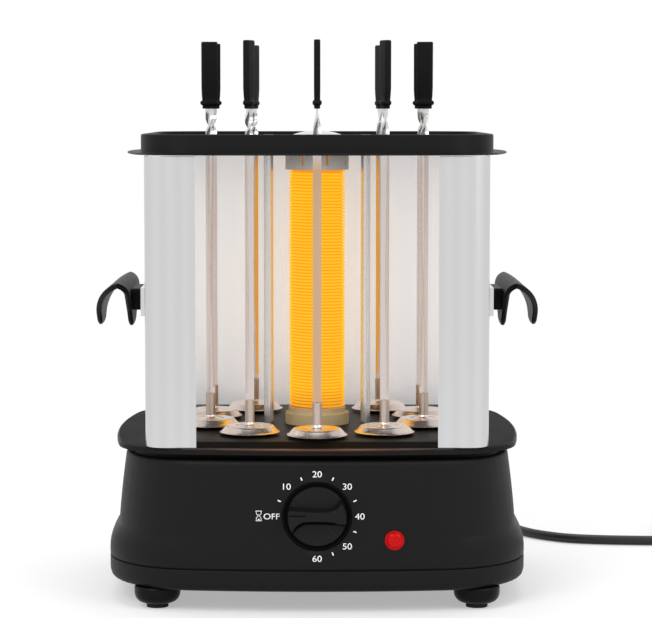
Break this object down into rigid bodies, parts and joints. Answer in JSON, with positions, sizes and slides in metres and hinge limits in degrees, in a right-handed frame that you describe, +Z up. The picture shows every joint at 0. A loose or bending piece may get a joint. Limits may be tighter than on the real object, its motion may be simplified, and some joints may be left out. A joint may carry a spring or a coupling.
{
  "type": "electric skewer grill",
  "caption": "Tabletop electric grill: a squat base with timer knob turns upright skewers in a ring round a glowing heater, inside an open-fronted bright sheet housing under a flat cover.",
  "frame": {"origin": "on the surface it stands on, under the middle of its outer box without the cord", "axes": "+Z up, -Y towards the user and the timer knob, +X to the user's right"},
  "size_m": [0.5208, 0.3928, 0.3668],
  "materials": {
    "black_plastic": "fine moulded texture",
    "rubber": "matt",
    "steel": "zinc plated",
    "gear_plastic": "natural acetal",
    "motor_steel": "zinc plated",
    "tray_enamel": "satin black enamel",
    "ceramic": "unglazed ceramic",
    "glowing_wire": "glowing heating wire",
    "cap_steel": "satin",
    "polished_steel": "polished",
    "black_enamel": "matt black enamel",
    "knob_plastic": "satin",
    "white_plastic": "satin",
    "red_lens": "clear red",
    "mirror_steel": "bright rolled sheet",
    "plated_bracket": "bright plating",
    "grip_plastic": "satin black",
    "cord_rubber": "satin black sheath",
    "plug_plastic": "moulded",
    "cup_steel": "bright pressed steel",
    "skewer_steel": "bright steel blade in black handle"
  },
  "bodies": {
    "base": {"base_shell": "black_plastic", "bottom_cover": "black_plastic", "feet": "black_plastic", "foot_pads": "rubber", "screws": "steel", "gear_plate": "black_plastic", "gear_motor": "motor_steel", "drip_tray": "tray_enamel", "heater_holder": "ceramic", "heater_former": "ceramic", "heater_coil": "glowing_wire", "heater_cap": "cap_steel", "support_posts": "polished_steel", "top_plate": "black_enamel", "cap_nut": "polished_steel", "timer_body": "white_plastic", "indicator_lamp": "red_lens", "strain_relief": "cord_rubber", "cord": "cord_rubber", "cord_coil": "cord_rubber", "plug": "plug_plastic"},
    "sun": {"sun_gear": "gear_plastic"},
    "pinion": {"motor_pinion": "gear_plastic"},
    "knob": {"timer_knob": "knob_plastic"},
    "left_half": {"housing_left": "mirror_steel", "bracket_left": "plated_bracket", "grip_left": "grip_plastic"},
    "right_half": {"housing_right": "mirror_steel", "bracket_right": "plated_bracket", "grip_right": "grip_plastic"},
    "spindle_0": {"spindle_gear_0": "gear_plastic", "spindle_cup_0": "cup_steel"},
    "lifted_skewer_0": {"skewer_0": "skewer_steel"},
    "spindle_1": {"spindle_gear_1": "gear_plastic", "spindle_cup_1": "cup_steel"},
    "lifted_skewer_1": {"skewer_1": "skewer_steel"},
    "spindle_2": {"spindle_gear_2": "gear_plastic", "spindle_cup_2": "cup_steel"},
    "lifted_skewer_2": {"skewer_2": "skewer_steel"},
    "spindle_3": {"spindle_gear_3": "gear_plastic", "spindle_cup_3": "cup_steel"},
    "lifted_skewer_3": {"skewer_3": "skewer_steel"},
    "spindle_4": {"spindle_gear_4": "gear_plastic", "spindle_cup_4": "cup_steel"},
    "lifted_skewer_4": {"skewer_4": "skewer_steel"},
    "spindle_5": {"spindle_gear_5": "gear_plastic", "spindle_cup_5": "cup_steel"},
    "lifted_skewer_5": {"skewer_5": "skewer_steel"},
    "spindle_6": {"spindle_gear_6": "gear_plastic", "spindle_cup_6": "cup_steel"},
    "lifted_skewer_6": {"skewer_6": "skewer_steel"},
    "spindle_7": {"spindle_gear_7": "gear_plastic", "spindle_cup_7": "cup_steel"},
    "lifted_skewer_7": {"skewer_7": "skewer_steel"},
    "spindle_8": {"spindle_gear_8": "gear_plastic", "spindle_cup_8": "cup_steel"},
    "lifted_skewer_8": {"skewer_8": "skewer_steel"},
    "spindle_9": {"spindle_gear_9": "gear_plastic", "spindle_cup_9": "cup_steel"},
    "lifted_skewer_9": {"skewer_9": "skewer_steel"}
  },
  "joints": [
    {"name": "sun_spin", "type": "hinge", "parent": "base", "child": "sun", "pos_m": [0, 0.0048, 0.08], "axis": [0, 0, 1], "continuous": true},
    {"name": "pinion_spin", "type": "hinge", "parent": "base", "child": "pinion", "pos_m": [0, 0.04406, 0.08], "axis": [0, 0, 1], "continuous": true},
    {"name": "spindle_spin_0", "type": "hinge", "parent": "base", "child": "spindle_0", "pos_m": [0, -0.0707, 0.1], "axis": [0, 0, 1], "continuous": true},
    {"name": "skewer_lift_0", "type": "slide", "parent": "spindle_0", "child": "lifted_skewer_0", "axis": [0, 0, 1], "range_m": [0, 0.19]},
    {"name": "spindle_spin_1", "type": "hinge", "parent": "base", "child": "spindle_1", "pos_m": [0.04438, -0.05628, 0.1], "axis": [0, 0, 1], "continuous": true},
    {"name": "skewer_lift_1", "type": "slide", "parent": "spindle_1", "child": "lifted_skewer_1", "axis": [0, 0, 1], "range_m": [0, 0.19]},
    {"name": "spindle_spin_2", "type": "hinge", "parent": "base", "child": "spindle_2", "pos_m": [0.0718, -0.01853, 0.1], "axis": [0, 0, 1], "continuous": true},
    {"name": "skewer_lift_2", "type": "slide", "parent": "spindle_2", "child": "lifted_skewer_2", "axis": [0, 0, 1], "range_m": [0, 0.19]},
    {"name": "spindle_spin_3", "type": "hinge", "parent": "base", "child": "spindle_3", "pos_m": [0.0718, 0.02813, 0.1], "axis": [0, 0, 1], "continuous": true},
    {"name": "skewer_lift_3", "type": "slide", "parent": "spindle_3", "child": "lifted_skewer_3", "axis": [0, 0, 1], "range_m": [0, 0.19]},
    {"name": "spindle_spin_4", "type": "hinge", "parent": "base", "child": "spindle_4", "pos_m": [0.04438, 0.06588, 0.1], "axis": [0, 0, 1], "continuous": true},
    {"name": "skewer_lift_4", "type": "slide", "parent": "spindle_4", "child": "lifted_skewer_4", "axis": [0, 0, 1], "range_m": [0, 0.19]},
    {"name": "spindle_spin_5", "type": "hinge", "parent": "base", "child": "spindle_5", "pos_m": [0, 0.0803, 0.1], "axis": [0, 0, 1], "continuous": true},
    {"name": "skewer_lift_5", "type": "slide", "parent": "spindle_5", "child": "lifted_skewer_5", "axis": [0, 0, 1], "range_m": [0, 0.19]},
    {"name": "spindle_spin_6", "type": "hinge", "parent": "base", "child": "spindle_6", "pos_m": [-0.04438, 0.06588, 0.1], "axis": [0, 0, 1], "continuous": true},
    {"name": "skewer_lift_6", "type": "slide", "parent": "spindle_6", "child": "lifted_skewer_6", "axis": [0, 0, 1], "range_m": [0, 0.19]},
    {"name": "spindle_spin_7", "type": "hinge", "parent": "base", "child": "spindle_7", "pos_m": [-0.0718, 0.02813, 0.1], "axis": [0, 0, 1], "continuous": true},
    {"name": "skewer_lift_7", "type": "slide", "parent": "spindle_7", "child": "lifted_skewer_7", "axis": [0, 0, 1], "range_m": [0, 0.19]},
    {"name": "spindle_spin_8", "type": "hinge", "parent": "base", "child": "spindle_8", "pos_m": [-0.0718, -0.01853, 0.1], "axis": [0, 0, 1], "continuous": true},
    {"name": "skewer_lift_8", "type": "slide", "parent": "spindle_8", "child": "lifted_skewer_8", "axis": [0, 0, 1], "range_m": [0, 0.19]},
    {"name": "spindle_spin_9", "type": "hinge", "parent": "base", "child": "spindle_9", "pos_m": [-0.04438, -0.05628, 0.1], "axis": [0, 0, 1], "continuous": true},
    {"name": "skewer_lift_9", "type": "slide", "parent": "spindle_9", "child": "lifted_skewer_9", "axis": [0, 0, 1], "range_m": [0, 0.19]},
    {"name": "timer_turn", "type": "hinge", "parent": "base", "child": "knob", "pos_m": [0, -0.1152, 0.0637], "axis": [0, 1, 0], "range_deg": [0, 270]},
    {"name": "left_pull_off", "type": "slide", "parent": "base", "child": "left_half", "axis": [-1, 0, 0], "range_m": [0, 0.12]},
    {"name": "right_pull_off", "type": "slide", "parent": "base", "child": "right_half", "axis": [1, 0, 0], "range_m": [0, 0.12]}
  ],
  "couplings": [
    {"joint": "pinion_spin", "follows": "sun_spin", "ratio": -3.3333},
    {"joint": "spindle_spin_0", "follows": "sun_spin", "ratio": -4},
    {"joint": "spindle_spin_1", "follows": "sun_spin", "ratio": -4},
    {"joint": "spindle_spin_2", "follows": "sun_spin", "ratio": -4},
    {"joint": "spindle_spin_3", "follows": "sun_spin", "ratio": -4},
    {"joint": "spindle_spin_4", "follows": "sun_spin", "ratio": -4},
    {"joint": "spindle_spin_5", "follows": "sun_spin", "ratio": -4},
    {"joint": "spindle_spin_6", "follows": "sun_spin", "ratio": -4},
    {"joint": "spindle_spin_7", "follows": "sun_spin", "ratio": -4},
    {"joint": "spindle_spin_8", "follows": "sun_spin", "ratio": -4},
    {"joint": "spindle_spin_9", "follows": "sun_spin", "ratio": -4}
  ]
}
